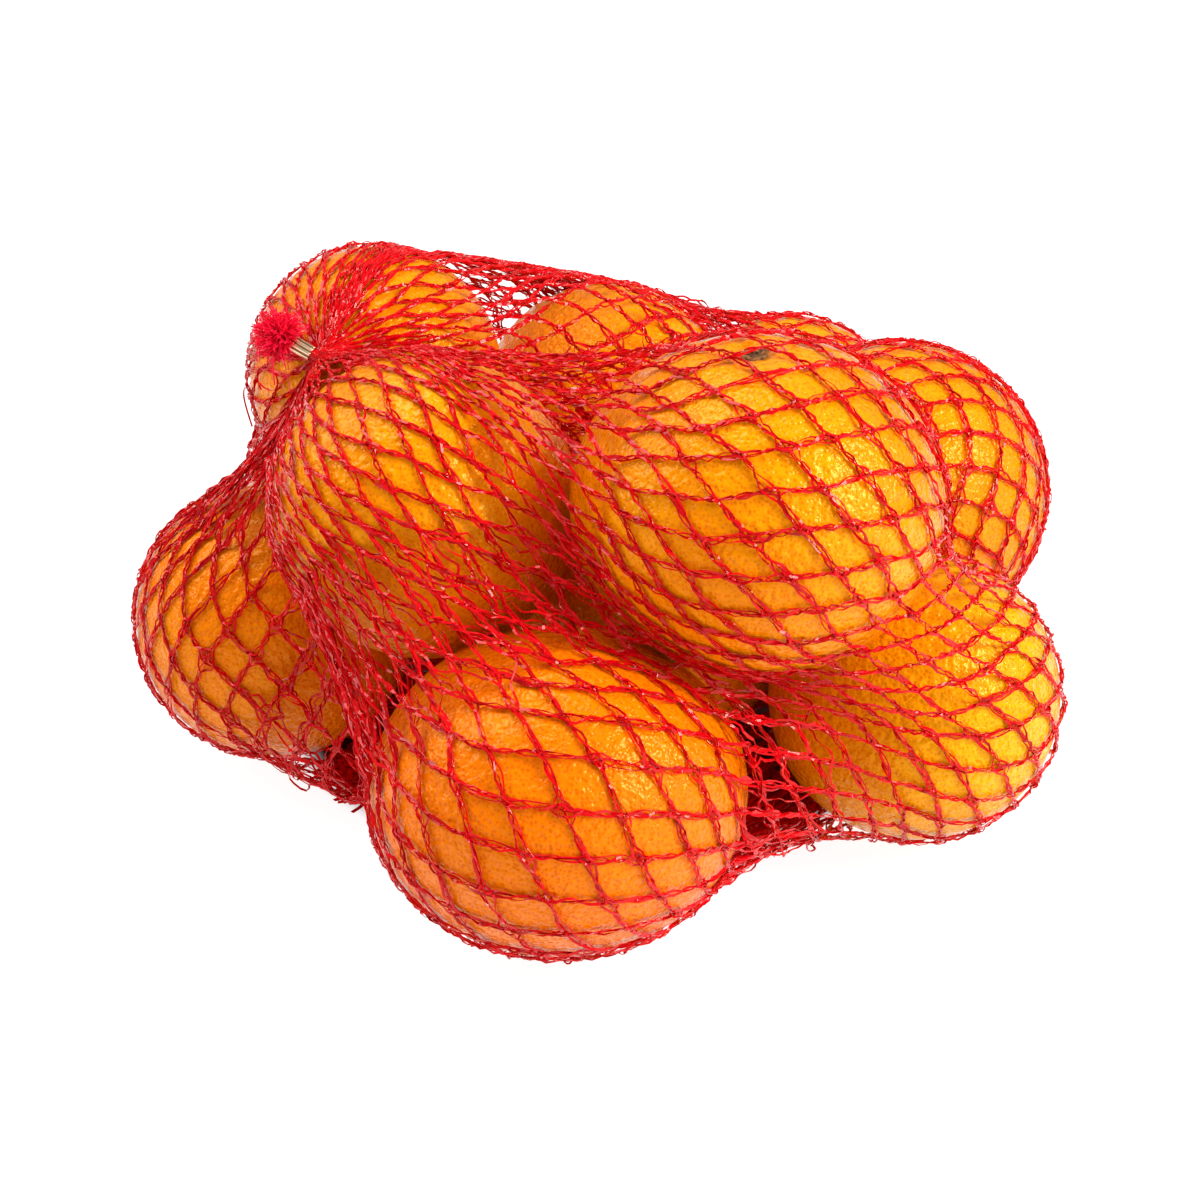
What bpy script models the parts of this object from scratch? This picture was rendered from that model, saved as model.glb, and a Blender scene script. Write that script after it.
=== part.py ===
"""Net of oranges: eleven oranges in a red knitted net, closed by a crimped metal clip at each end.

The model is in metres with +Z up. The origin is on the floor under the middle of the pile, and the
side that is usually looked at faces -Y. Six oranges lie on the floor, and each of the other five
rests on three below it. The stretched net is one closed solid that follows their outer sides,
spans the valleys between them and runs out into a gathered neck at each clip.
"""
import math

import bmesh
import bpy
from mathutils import Matrix, Vector, noise

MM = 0.001

# Oranges on the floor: middle (x, y), radius round the equator, height over width,
# and the angle in degrees by which the stem end leans away from the viewer
FLOOR_ORANGES = {
    "front": (-8.6, -82.2, 38.0, 0.87, 30.0),
    "right": (67.9, -43.5, 31.7, 1.0, 0.0),
    "left": (-75.2, -11.7, 32.2, 1.0, 0.0),
    "back_left": (-59.4, 61.8, 33.1, 1.0, 0.0),
    "back_right": (51.1, 86.3, 32.4, 1.0, 0.0),
    "middle": (9.1, -10.9, 35.3, 1.0, 0.0),
}

# Oranges on top: radius, height over width, and the three that each one rests on
STACKED_ORANGES = {
    "top_left": (32.3, 1.0, ("front", "left", "middle")),
    "top_right": (37.5, 0.89, ("front", "right", "middle")),
    "top_middle": (32.0, 1.0, ("back_left", "back_right", "middle")),
    "top_back": (29.5, 1.0, ("left", "back_left", "top_left")),
    "top_side": (36.2, 1.0, ("right", "back_right", "middle")),
}

# The net's outer side stands this far off the peel
NET_COVER = 1.3
# Peel above the floor, so that the net's underside is pressed into small flat spots
FLOOR_LIFT = 0.4
# The net bridges from one orange to the next where the gap between them is less than this
SPAN_REACH = 32.0
# How deep the net sinks into a valley, as a share of the radii at both ends
PAIR_SHARE = 0.64
WEB_SHARE = 0.5
CORE_SHARE = 0.45
# The net lies on the floor between the lower oranges, this far out past the spots they rest on
FOOT_RADIUS = 5.0
FOOT_PRESS = 1.0

SKIN_VOXEL = 2.2
SKIN_SMOOTH_PASSES = 8
SKIN_KEEP = 0.1
FLOOR_BLOCK = 300.0

# Crimped clips: the middle of each one, and the way from the bag to the loose end of the net
CLIPS = {
    "clip": ((-65.4, -6.4, 98.0), (-0.86, 0.26, 0.44)),
    "clip_far": ((92.6, 1.1, 12.0), (0.87, 0.1, -0.48)),
}
CLIP_LENGTH = 5.2
CLIP_WIDTH = 3.5
CLIP_HEIGHT = 3.1
CLIP_BORE = 1.1
CLIP_RIDGE = 0.2
CLIP_RIDGES = 10
CLIP_EDGE = 0.15
CLIP_POINTS = 60

NECK_RADIUS = 1.4
NECK_LENGTH = 20.0
NECK_FLARE = 9.0
TUFT_RADIUS = 5.6
TUFT_LOBES = 0.16
TUFT_DETAIL = 3
STEM_RADIUS = 0.75
CLEARANCE = 0.3
ROUND_SIDES = 20


def clear_scene():
    """Removes what a new file starts with."""
    for thing in list(bpy.data.objects):
        bpy.data.objects.remove(thing, do_unlink=True)


def new_collection(name):
    """Makes a collection in the scene."""
    collection = bpy.data.collections.new(name)
    bpy.context.scene.collection.children.link(collection)
    return collection


def new_material(name, colour, roughness, metallic):
    """Makes a plain finish from a colour, a roughness and a metallic value."""
    material = bpy.data.materials.new(name)
    material.use_nodes = True
    shader = material.node_tree.nodes["Principled BSDF"]
    shader.inputs["Base Color"].default_value = (*colour, 1.0)
    shader.inputs["Roughness"].default_value = roughness
    shader.inputs["Metallic"].default_value = metallic
    return material


def object_from_bmesh(name, bm, collection, material=None, smooth=True):
    """Turns a bmesh into an object in a collection."""
    bmesh.ops.recalc_face_normals(bm, faces=bm.faces)
    mesh = bpy.data.meshes.new(name)
    bm.to_mesh(mesh)
    bm.free()
    thing = bpy.data.objects.new(name, mesh)
    collection.objects.link(thing)
    if material:
        mesh.materials.append(material)
    if smooth:
        mesh.shade_smooth()
    return thing


def hide_tool(thing):
    """Marks an object as a tool that cuts or joins and isn't part of the model."""
    thing.hide_render = True
    thing.display_type = "WIRE"


def upright_along(direction):
    """The turn that takes +Z to a direction."""
    return Vector((0, 0, 1)).rotation_difference(Vector(direction).normalized()).to_matrix()


def reach(orange, direction):
    """How far an orange's peel is from its middle, in a direction."""
    _, radius, flatness, axis = orange
    along = direction.normalized().dot(axis) ** 2
    return 1.0 / math.sqrt(along / (radius * flatness) ** 2 + (1.0 - along) / radius ** 2)


def meet_three(points, distances):
    """The upper one of the two points at the given distances from three points."""
    first, second, third = points
    along = (second - first).normalized()
    span = (second - first).length
    offset = along.dot(third - first)
    across = (third - first - along * offset).normalized()
    depth = across.dot(third - first)
    up = along.cross(across)
    if up.z < 0:
        up = -up
    x = (distances[0] ** 2 - distances[1] ** 2 + span ** 2) / (2 * span)
    y = (distances[0] ** 2 - distances[2] ** 2 + offset ** 2 + depth ** 2) / (2 * depth)
    y -= offset / depth * x
    height = math.sqrt(max(distances[0] ** 2 - x * x - y * y, 0.0))
    return first + along * x + across * y + up * height


def place_oranges():
    """Puts the lower oranges on the floor and each upper one on its three supports."""
    oranges = {}
    for name, (x, y, radius, flatness, lean) in FLOOR_ORANGES.items():
        axis = Vector((0, math.sin(math.radians(lean)), math.cos(math.radians(lean))))
        pole = radius * flatness
        half_height = math.sqrt((pole * axis.z) ** 2 + radius ** 2 * (1 - axis.z ** 2))
        oranges[name] = (Vector((x, y, half_height + FLOOR_LIFT)), radius, flatness, axis)
    for name, (radius, flatness, supports) in STACKED_ORANGES.items():
        below = [oranges[support] for support in supports]
        middle = sum((orange[0] for orange in below), Vector()) / 3 + Vector((0, 0, radius))
        for _ in range(5):
            stacked = (middle, radius, flatness, Vector((0, 0, 1)))
            distances = [reach(orange, middle - orange[0]) + reach(stacked, orange[0] - middle)
                         for orange in below]
            middle = meet_three([orange[0] for orange in below], distances)
        oranges[name] = (middle, radius, flatness, Vector((0, 0, 1)))
    return oranges


def add_ball(bm, orange, share=1.0, cover=0.0, detail=5):
    """Adds an orange's ball to a bmesh, shrunk to a share of its size or grown by a cover."""
    middle, radius, flatness, axis = orange
    size = Matrix.Diagonal((radius * share + cover, radius * share + cover,
                            radius * flatness * share + cover, 1 / MM)) * MM
    place = Matrix.Translation(middle * MM) @ upright_along(axis).to_4x4() @ size
    return bmesh.ops.create_icosphere(bm, subdivisions=detail, radius=1.0, matrix=place)["verts"]


def add_span(bm, oranges, share, feet=()):
    """Adds the hull of several shrunken oranges, and of the spots in feet, as a bridge of net."""
    span = bmesh.new()
    for orange in oranges:
        add_ball(span, orange, share, detail=3)
    for x, y in feet:
        place = Matrix.Translation(Vector((x, y, FOOT_RADIUS - FOOT_PRESS)) * MM)
        bmesh.ops.create_icosphere(span, subdivisions=3, radius=FOOT_RADIUS * MM, matrix=place)
    bmesh.ops.delete(span, geom=span.edges[:], context="EDGES_FACES")
    bmesh.ops.convex_hull(span, input=span.verts[:])
    inside = [vert for vert in span.verts if not vert.link_faces]
    bmesh.ops.delete(span, geom=inside, context="VERTS")
    mesh = bpy.data.meshes.new("span")
    span.to_mesh(mesh)
    span.free()
    bm.from_mesh(mesh)
    bpy.data.meshes.remove(mesh)


def gap(first, second):
    """The clear distance between two oranges."""
    way = second[0] - first[0]
    return way.length - reach(first, way) - reach(second, -way)


def build_skin(oranges):
    """Joins the covered oranges, the net's bridges between them and the packed core."""
    bm = bmesh.new()
    for orange in oranges.values():
        add_ball(bm, orange, cover=NET_COVER)
    packed = list(oranges.values())
    for i, first in enumerate(packed):
        for j in range(i):
            second = packed[j]
            if gap(first, second) > SPAN_REACH:
                continue
            add_span(bm, (first, second), PAIR_SHARE)
            for third in packed[:j]:
                if max(gap(first, third), gap(second, third)) < SPAN_REACH:
                    add_span(bm, (first, second, third), WEB_SHARE)
    add_span(bm, packed, CORE_SHARE)
    lower = [oranges[name] for name in FLOOR_ORANGES]
    add_span(bm, lower, CORE_SHARE, [values[:2] for values in FLOOR_ORANGES.values()])
    return bm


def build_neck(bm, place, way):
    """Adds the gathered neck that runs from the pile to a clip."""
    turn = upright_along(way).to_4x4()
    end = Vector(place) - Vector(way).normalized() * (CLIP_LENGTH / 2 + CLEARANCE)
    middle = (end - Vector(way).normalized() * NECK_LENGTH / 2) * MM
    bmesh.ops.create_cone(bm, cap_ends=True, segments=ROUND_SIDES, radius1=NECK_FLARE * MM,
                          radius2=NECK_RADIUS * MM, depth=NECK_LENGTH * MM,
                          matrix=Matrix.Translation(middle) @ turn)


def build_net_bag(parts, tools, material, oranges):
    """The net with its load: a smooth skin over the pile, with necks, cut flat at the floor."""
    bag = object_from_bmesh("net_bag", build_skin(oranges), parts, material)
    remesh = bag.modifiers.new("skin", "REMESH")
    remesh.mode = "VOXEL"
    remesh.voxel_size = SKIN_VOXEL * MM
    smooth = bag.modifiers.new("soften", "SMOOTH")
    smooth.factor = 0.5
    smooth.iterations = SKIN_SMOOTH_PASSES
    decimate = bag.modifiers.new("thin_out", "DECIMATE")
    decimate.ratio = SKIN_KEEP
    for name, (place, way) in CLIPS.items():
        bm = bmesh.new()
        build_neck(bm, place, way)
        neck = object_from_bmesh(name + "_neck_tool", bm, tools)
        hide_tool(neck)
        join = bag.modifiers.new(name + "_neck", "BOOLEAN")
        join.operation = "UNION"
        join.object = neck
    bm = bmesh.new()
    size = Matrix.Diagonal((FLOOR_BLOCK * MM, FLOOR_BLOCK * MM, FLOOR_BLOCK * MM, 1.0))
    down = Matrix.Translation((0, 0, -FLOOR_BLOCK * MM / 2))
    bmesh.ops.create_cube(bm, size=1.0, matrix=down @ size)
    block = object_from_bmesh("floor_tool", bm, tools, smooth=False)
    hide_tool(block)
    cut = bag.modifiers.new("resting_spots", "BOOLEAN")
    cut.operation = "DIFFERENCE"
    cut.object = block
    return bag


def build_clip(name, parts, material, place, way):
    """A metal sleeve crimped round the gathered net, with ridges along it and a bore."""
    bm = bmesh.new()
    wall = bmesh.ops.create_cone(bm, cap_ends=True, segments=CLIP_POINTS, radius1=1.0,
                                 radius2=1.0, depth=CLIP_LENGTH)["verts"]
    for vert in wall:
        angle = math.atan2(vert.co.y, vert.co.x)
        ridge = CLIP_RIDGE * (math.cos(CLIP_RIDGES * angle) - 1) / 2
        vert.co.x *= CLIP_WIDTH / 2 + ridge
        vert.co.y *= CLIP_HEIGHT / 2 + ridge
    ends = [face for face in bm.faces if len(face.verts) == CLIP_POINTS]
    rims = [edge for face in ends for edge in face.edges]
    bmesh.ops.bevel(bm, geom=rims, offset=CLIP_EDGE, segments=1, profile=0.5, affect="EDGES",
                    material=-1)
    ends = [face for face in bm.faces if len(face.verts) == CLIP_POINTS]
    bmesh.ops.inset_region(bm, faces=ends, thickness=CLIP_EDGE, use_even_offset=True)
    for vert in {vert for face in ends for vert in face.verts}:
        vert.co.xy = vert.co.xy.normalized() * CLIP_BORE
    bmesh.ops.delete(bm, geom=ends, context="FACES")
    bore = [edge for edge in bm.edges if edge.is_boundary]
    bmesh.ops.bridge_loops(bm, edges=bore)
    bmesh.ops.scale(bm, verts=bm.verts, vec=(MM, MM, MM))
    clip = object_from_bmesh(name, bm, parts, material)
    clip.data.set_sharp_from_angle(angle=math.radians(40))
    clip.matrix_world = Matrix.Translation(Vector(place) * MM) @ upright_along(way).to_4x4()
    return clip


def build_tuft(name, parts, tools, material, place, way):
    """The loose end of the net past a clip: a frayed ball on a stem through the clip's bore."""
    bm = bmesh.new()
    bmesh.ops.create_icosphere(bm, subdivisions=TUFT_DETAIL, radius=1.0)
    for vert in bm.verts:
        lobe = 1.0 + TUFT_LOBES * noise.noise(vert.co * 2.3)
        vert.co *= TUFT_RADIUS * lobe * MM
    above = CLIP_LENGTH / 2 + CLEARANCE + TUFT_RADIUS * (1 + TUFT_LOBES / 2)
    bmesh.ops.translate(bm, verts=bm.verts, vec=(0, 0, above * MM))
    tuft = object_from_bmesh(name, bm, parts, material)
    bm = bmesh.new()
    low = -CLIP_LENGTH / 2
    high = above
    middle = Matrix.Translation((0, 0, (low + high) / 2 * MM))
    bmesh.ops.create_cone(bm, cap_ends=True, segments=ROUND_SIDES, radius1=STEM_RADIUS * MM,
                          radius2=STEM_RADIUS * MM, depth=(high - low) * MM, matrix=middle)
    stem = object_from_bmesh(name + "_stem_tool", bm, tools)
    hide_tool(stem)
    placing = Matrix.Translation(Vector(place) * MM) @ upright_along(way).to_4x4()
    tuft.matrix_world = placing
    stem.matrix_world = placing
    join = tuft.modifiers.new("stem", "BOOLEAN")
    join.operation = "UNION"
    join.object = stem
    return tuft


def main():
    clear_scene()
    parts = new_collection("net_of_oranges")
    tools = new_collection("tools")
    net_red = new_material("net_red", (0.72, 0.03, 0.03), 0.4, 0.0)
    peel_in_net = new_material("peel_in_net", (0.86, 0.24, 0.02), 0.45, 0.0)
    brass = new_material("clip_brass", (0.83, 0.62, 0.36), 0.3, 1.0)
    oranges = place_oranges()
    build_net_bag(parts, tools, peel_in_net, oranges)
    for name, (place, way) in CLIPS.items():
        build_clip(name, parts, brass, place, way)
        build_tuft(name.replace("clip", "net_tuft"), parts, tools, net_red, place, way)


main()
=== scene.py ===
# %% [markdown]
# # A net of oranges
#
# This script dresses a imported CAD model: a pile of eleven oranges in a red knitted net, shut
# with a small metal clip at each end. The CAD part holds the sizes and the places. The looks are
# made here: the fruit with its pores and stem scars, every strand of the net, the pressed clips
# and the frayed tufts behind them. The object's lengths are given in millimetres and turned into
# metres at the end, because a net's cells and threads are easier to think about that way. Only
# the floor, the lamps and the shaders' own values are in metres from the start.

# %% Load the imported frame
import math

import bmesh
import bpy
import numpy as np
from mathutils import Matrix, Vector, noise


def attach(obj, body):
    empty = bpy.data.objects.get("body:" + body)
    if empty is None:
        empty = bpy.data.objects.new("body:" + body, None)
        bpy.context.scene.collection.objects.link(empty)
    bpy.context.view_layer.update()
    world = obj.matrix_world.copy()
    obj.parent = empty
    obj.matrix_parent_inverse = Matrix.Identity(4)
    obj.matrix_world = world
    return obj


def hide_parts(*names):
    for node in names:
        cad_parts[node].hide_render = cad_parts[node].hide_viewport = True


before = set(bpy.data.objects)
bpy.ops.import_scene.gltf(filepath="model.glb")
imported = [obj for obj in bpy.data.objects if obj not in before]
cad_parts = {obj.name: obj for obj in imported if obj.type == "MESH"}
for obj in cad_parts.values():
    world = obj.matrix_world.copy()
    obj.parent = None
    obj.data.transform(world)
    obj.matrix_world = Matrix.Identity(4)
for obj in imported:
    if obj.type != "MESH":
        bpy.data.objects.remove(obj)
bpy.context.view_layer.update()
MM = 0.001

# %% [markdown]
# ## The camera
#
# The photo looks down on the net by about thirty degrees, from half a metre away. A camera is
# an object like any other: it looks along its own -Z, so turning it about X by ninety degrees
# less the tilt aims it forwards and down. The lens was found together with the pile, by fitting
# the outlines of the oranges, so that the render lines up with the photo.

# %% Camera
CAMERA_PLACE = (-0.4, -402.8, 267.7)
CAMERA_TILT = 30.49
LENS = 58.95

scene = bpy.context.scene
camera_data = bpy.data.cameras.new("camera")
camera_data.lens = LENS
camera_data.sensor_width = 36.0
camera_data.clip_start = 0.01
camera = bpy.data.objects.new("camera", camera_data)
camera.location = Vector(CAMERA_PLACE) * MM
camera.rotation_euler = (math.radians(90 - CAMERA_TILT), 0, 0)
scene.collection.objects.link(camera)
scene.camera = camera
print("camera looks down by", CAMERA_TILT, "degrees")

# %% [markdown]
# ## Floor, light and colour
#
# The photo is a bright cut-out on white, with one broad soft light from the right and much
# light from all round, and only what lies under the pile is dark. Here a lamp on the right
# makes the highlights, a low reflector beside it brightens the right flanks, a weaker lamp on
# the left and one above fill the shade, and the surroundings are white. The floor glows, which
# keeps it white almost without a shadow, except for a dark oval of painted shade under the
# pile. The standard view transform keeps strong yellows and reds as they are, where a filmic
# one would wash them out.


# %% Helpers for materials
def new_material(name):
    """A material with its shader, and small helpers to add and join nodes."""
    material = bpy.data.materials.new(name)
    material.use_nodes = True
    tree = material.node_tree
    shader = tree.nodes["Principled BSDF"]

    def add(kind, **settings):
        node = tree.nodes.new(kind)
        for key, value in settings.items():
            setattr(node, key, value)
        return node

    def join(source, target):
        tree.links.new(source, target)

    return material, shader, add, join


def set_values(node, **values):
    """Sets a node's sockets by name, with _ for a space."""
    for key, value in values.items():
        node.inputs[key.replace("_", " ")].default_value = value


def add_noise(add, join, place, **values):
    """A noise texture in the object's own coordinates."""
    texture = add("ShaderNodeTexNoise")
    set_values(texture, **values)
    join(place.outputs["Object"], texture.inputs["Vector"])
    return texture


def add_ramp(add, join, source, *stops):
    """A colour ramp that reads a source. Each of its two stops is a position and a colour."""
    ramp = add("ShaderNodeValToRGB")
    for element, (position, colour) in zip(ramp.color_ramp.elements, stops):
        element.position = position
        element.color = (*colour, 1)
    join(source, ramp.inputs["Fac"])
    return ramp


def add_bump(add, join, shader, height, **values):
    """Bends the shader's normal as a relief of the given height would."""
    bump = add("ShaderNodeBump")
    set_values(bump, **values)
    join(height, bump.inputs["Height"])
    join(bump.outputs["Normal"], shader.inputs["Normal"])


# %% Helper for meshes
def add_piece(name, bm):
    """Makes an object of a finished bmesh and puts it in the scene."""
    mesh = bpy.data.meshes.new(name)
    bm.to_mesh(mesh)
    bm.free()
    piece = bpy.data.objects.new(name, mesh)
    scene.collection.objects.link(piece)
    return piece


# %% Floor and surroundings
# half the length and width of the oval of painted shade under the pile, mm
PAINTED_SHADE_PATCH = (74.0, 60.0)

scene.view_settings.view_transform = "Standard"

world = bpy.data.worlds.new("studio")
world.use_nodes = True
set_values(world.node_tree.nodes["Background"], Color=(1.0, 0.99, 0.98, 1), Strength=0.4)
scene.world = world

bm = bmesh.new()
bmesh.ops.create_grid(bm, x_segments=1, y_segments=1, size=3.0)
floor = add_piece("floor", bm)
floor_material, shader, add, join = new_material("pale_floor")
set_values(shader, Roughness=0.9, Emission_Strength=0.92)
place = add("ShaderNodeTexCoord")
footprint = add("ShaderNodeMapping")
set_values(footprint, Scale=(1 / (PAINTED_SHADE_PATCH[0] * MM), 1 / (PAINTED_SHADE_PATCH[1] * MM), 0))
join(place.outputs["Object"], footprint.inputs["Vector"])
from_middle = add("ShaderNodeVectorMath", operation="LENGTH")
join(footprint.outputs["Vector"], from_middle.inputs[0])
beyond_painted_shade = add("ShaderNodeMapRange", interpolation_type="SMOOTHSTEP")
set_values(beyond_painted_shade, From_Min=0.94, From_Max=1.06)
join(from_middle.outputs["Value"], beyond_painted_shade.inputs["Value"])
# painted shade: under the pile the floor is dark red and does not glow, beside it white and glowing
for socket, under, beside in (("Base Color", 0.12, 0.25), ("Emission Color", 0.0, 1.0)):
    tone = add("ShaderNodeMix", data_type="RGBA")
    join(beyond_painted_shade.outputs["Result"], tone.inputs["Factor"])
    tone.inputs[6].default_value = (under, 0.4 * under, 0.4 * under, 1)
    tone.inputs[7].default_value = (beside, beside, beside, 1)
    join(tone.outputs[2], shader.inputs[socket])
floor.data.materials.append(floor_material)
print("dark patch under the pile, mm:", [2 * half for half in PAINTED_SHADE_PATCH])


# %% Lamps
def add_lamp(name, direction, distance, size, power, colour=(1, 1, 1)):
    """A square soft lamp that looks at the pile's middle."""
    data = bpy.data.lights.new(name, "AREA")
    data.size = size
    data.energy = power
    data.color = colour
    lamp = bpy.data.objects.new(name, data)
    aim = Vector((0, 0, 0.05))
    lamp.location = aim + Vector(direction).normalized() * distance
    lamp.rotation_euler = (lamp.location - aim).to_track_quat("Z", "Y").to_euler()
    scene.collection.objects.link(lamp)


add_lamp("window_right", (0.748, -0.286, 0.582), 1.0, 0.4, 9.6, (1.0, 0.98, 0.95))
add_lamp("reflector_right", (0.7, -0.66, 0.27), 1.0, 0.7, 2.5, (1.0, 0.97, 0.92))
add_lamp("window_left", (-0.85, 0.1, 0.6), 1.1, 0.6, 5.2)
add_lamp("skylight", (-0.25, 0.2, 0.95), 1.1, 0.6, 7.2)

# %% [markdown]
# ## The pile
#
# Six oranges stand on the floor and five lie on top, each resting on three below. Where three
# fruits carry a fourth, its middle is the upper point at the right distance from the three
# middles, so the pile is solved and not placed by eye. These numbers repeat the CAD part's, as
# the looks have to sit exactly in its solids. A flat fruit is a ball squeezed along its axis.

# %% Sizes of the oranges
# name: (x, y, radius at the equator, height over width, lean of the axis)
FLOOR_ORANGES = {
    "front": (-8.6, -82.2, 38.0, 0.87, 30.0),
    "right": (67.9, -43.5, 31.7, 1.0, 0.0),
    "left": (-75.2, -11.7, 32.2, 1.0, 0.0),
    "back_left": (-59.4, 61.8, 33.1, 1.0, 0.0),
    "back_right": (51.1, 86.3, 32.4, 1.0, 0.0),
    "middle": (9.1, -10.9, 35.3, 1.0, 0.0),
}
# name: (radius at the equator, height over width, the three oranges that carry it)
STACKED_ORANGES = {
    "top_left": (32.3, 1.0, ("front", "left", "middle")),
    "top_right": (37.5, 0.89, ("front", "right", "middle")),
    "top_middle": (32.0, 1.0, ("back_left", "back_right", "middle")),
    "top_back": (29.5, 1.0, ("left", "back_left", "top_left")),
    "top_side": (36.2, 1.0, ("right", "back_right", "middle")),
}
FLOOR_LIFT = 0.4


# %% Solve the pile
def reach(orange, direction):
    """The distance from an orange's middle to its skin in one direction."""
    _, radius, flatness, axis = orange
    along = direction.normalized().dot(axis) ** 2
    return 1.0 / math.sqrt(along / (radius * flatness) ** 2 + (1.0 - along) / radius**2)


def meet_three(points, distances):
    """The upper of the two points at the given distances from three points."""
    a, b, c = points
    across = (b - a).normalized()
    part = across.dot(c - a)
    second = ((c - a) - across * part).normalized()
    third = across.cross(second)
    span, rise = (b - a).length, second.dot(c - a)
    x = (distances[0] ** 2 - distances[1] ** 2 + span**2) / (2 * span)
    y = (distances[0] ** 2 - distances[2] ** 2 + part**2 + rise**2) / (2 * rise) - part / rise * x
    z = math.sqrt(max(distances[0] ** 2 - x**2 - y**2, 0.0))
    return a + across * x + second * y + third * (z if third.z > 0 else -z)


def place_oranges():
    """name: (middle, radius, flatness, axis) for every orange, in millimetres."""
    oranges = {}
    for name, (x, y, radius, flatness, lean) in FLOOR_ORANGES.items():
        lean = math.radians(lean)
        axis = Vector((0, math.sin(lean), math.cos(lean)))
        low = math.sqrt((radius * flatness * axis.z) ** 2 + radius**2 * (1 - axis.z**2))
        oranges[name] = (Vector((x, y, low + FLOOR_LIFT)), radius, flatness, axis)
    for name, (radius, flatness, below) in STACKED_ORANGES.items():
        points = [oranges[other][0] for other in below]
        middle = sum(points, Vector()) / 3 + Vector((0, 0, radius))
        for _ in range(5):
            upper = (middle, radius, flatness, Vector((0, 0, 1)))
            distances = [
                reach(upper, point - middle) + reach(oranges[other], middle - point)
                for other, point in zip(below, points)
            ]
            middle = meet_three(points, distances)
        oranges[name] = (middle, radius, flatness, Vector((0, 0, 1)))
    return oranges


ORANGES = place_oranges()
for name, (middle, radius, flatness, axis) in ORANGES.items():
    print(f"{name:11s} middle {[round(v, 1) for v in middle]} radius {radius}")

# %% [markdown]
# ## The fruit
#
# A real orange is never a true ball: it is a little flattened, slightly lumpy, has a dimple
# with a woody scar where the stem was, and a faint pit at the other end. An icosphere is the
# best start, as its faces are all alike and it has no pinched poles. The lumps are smooth noise
# that only ever sinks the skin, so that no fruit grows into its neighbour. The fine pores are
# far too many for geometry, so they belong to the material.

# %% Which way each stem end points, and each fruit's colour and detail
# name: (stem direction, tint from yellow 0 to deep orange 1, icosphere level)
FRUIT = {
    "front": ((0.1, 0.75, -0.65), 0.76, 6),
    "right": ((0.2, 0.3, -0.9), 0.12, 6),
    "left": ((-0.5, 0.8, -0.1), 0.62, 6),
    "back_left": ((-0.55, 0.7, 0.35), 0.5, 5),
    "back_right": ((0.3, 0.85, 0.3), 0.4, 5),
    "middle": ((0.0, 0.2, 0.9), 0.5, 5),
    "top_left": ((-0.2, 0.9, 0.1), 0.36, 6),
    "top_right": ((-0.055, 0.0, 1.0), 0.42, 6),
    "top_middle": ((0.3, 0.9, 0.3), 0.42, 6),
    "top_back": ((-0.3, 0.85, 0.35), 0.45, 6),
    "top_side": ((0.75, 0.6, 0.1), 0.42, 6),
}
LUMP_DEPTH = 0.013
LUMP_SCALE = 1.25
DIMPLE_DEPTH = 0.045
DIMPLE_WIDTH = 0.16
PIT_DEPTH = 0.02
PIT_WIDTH = 0.07


def skin_point(name, direction, seed):
    """The point of an orange's skin in one direction from its middle, in millimetres."""
    middle, radius, flatness, axis = ORANGES[name]
    stem = Vector(FRUIT[name][0]).normalized()
    lump = 0.5 + 0.5 * noise.noise(direction * LUMP_SCALE + Vector((seed * 7.3, 0, 0)))
    share = 1.0 - LUMP_DEPTH * min(max(lump, 0.0), 1.0)
    share -= DIMPLE_DEPTH * math.exp(-((direction.angle(stem) / DIMPLE_WIDTH) ** 2))
    share -= PIT_DEPTH * math.exp(-((direction.angle(-stem) / PIT_WIDTH) ** 2))
    return middle + direction * reach(ORANGES[name], direction) * share


# %% Model the oranges
bm = bmesh.new()
tint = bm.verts.layers.float.new("tint")
scar = bm.verts.layers.float.new("scar")
for seed, name in enumerate(ORANGES):
    stem = Vector(FRUIT[name][0]).normalized()
    ball = bmesh.ops.create_icosphere(bm, subdivisions=FRUIT[name][2], radius=1.0)["verts"]
    for vert in ball:
        direction = vert.co.normalized()
        vert[tint] = FRUIT[name][1]
        vert[scar] = direction.angle(stem)
        vert.co = skin_point(name, direction, seed) * MM
for face in bm.faces:
    face.smooth = True
oranges_piece = add_piece("oranges", bm)
print("oranges:", len(oranges_piece.data.polygons), "triangles")

# %% [markdown]
# ## Peel
#
# Orange peel is a waxy skin over oil glands about a millimetre apart. Each gland shows as a
# small darker dot in a shallow dent, and the skin between them is pebbled, which breaks a lamp's
# reflection into bright worms. The colour moves from yellow to deep orange between fruits and in
# soft patches on each. A cell pattern makes the dots and dents, two sizes of noise the pebbles
# and patches, and a low roughness the wax. The highlight is tinted a little yellow, as it is in
# the photo. The stem's ring of brown cork is drawn from how far each point lies from the stem,
# which the mesh carries as an attribute.

# %% Peel material
PORE_SPACING = 0.82
PEBBLE_SIZE = 1.45
CORK_COLOUR = (0.34, 0.13, 0.02, 1)
PORE_COLOUR = (0.78, 0.4, 0.2, 1)

peel, shader, add, join = new_material("orange_peel")
place = add("ShaderNodeTexCoord")
tint_value = add("ShaderNodeAttribute", attribute_name="tint")
scar_value = add("ShaderNodeAttribute", attribute_name="scar")

patches = add_noise(add, join, place, Scale=38.0, Detail=3.0, Roughness=0.55)
ripe = add("ShaderNodeMath", operation="MULTIPLY_ADD")
join(patches.outputs["Fac"], ripe.inputs[0])
ripe.inputs[1].default_value = 0.6
join(tint_value.outputs["Fac"], ripe.inputs[2])
yellow, deep_orange = (0.97, 0.42, 0.0005), (0.92, 0.19, 0.0003)
skin_colour = add_ramp(add, join, ripe.outputs[0], (0.3, yellow), (1.0, deep_orange))

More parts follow.
